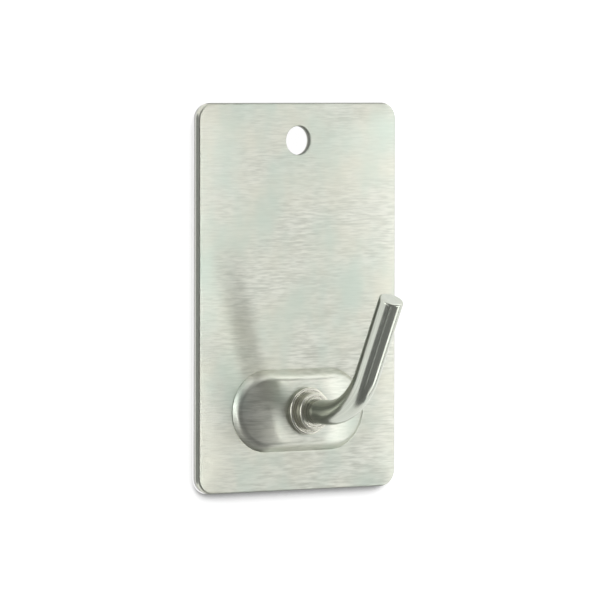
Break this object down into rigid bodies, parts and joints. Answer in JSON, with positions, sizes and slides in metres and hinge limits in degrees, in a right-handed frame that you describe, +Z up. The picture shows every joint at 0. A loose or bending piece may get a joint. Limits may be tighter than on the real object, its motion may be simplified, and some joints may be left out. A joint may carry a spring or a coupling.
{
  "type": "adhesive wall hook",
  "caption": "Self-adhesive wall hook: a brushed steel plate on a foam tape pad, with an upturned round rod riveted through a raised oval boss and a spare screw hole above it.",
  "frame": {"origin": "middle of the tape's wall side, which is the plane y = 0", "axes": "+Z up along the plate's height, +Y into the wall, so the front faces -Y, +X to the right as seen from the front"},
  "size_m": [0.044, 0.0317, 0.07],
  "materials": {
    "plate_steel": "satin, brushed finely across the width",
    "rod_steel": "smooth satin with fine drawn lines along the rod",
    "collar_steel": "turned, smooth satin",
    "washer_steel": "plain stamped",
    "adhesive": "tacky film, low gloss",
    "foam": "matte closed-cell foam"
  },
  "bodies": {
    "root": {"face_plate": "plate_steel", "hook_rod": "rod_steel", "collar": "collar_steel", "backing_washer": "washer_steel", "front_adhesive": "adhesive", "foam_pad": "foam", "rear_adhesive": "adhesive"}
  },
  "joints": []
}
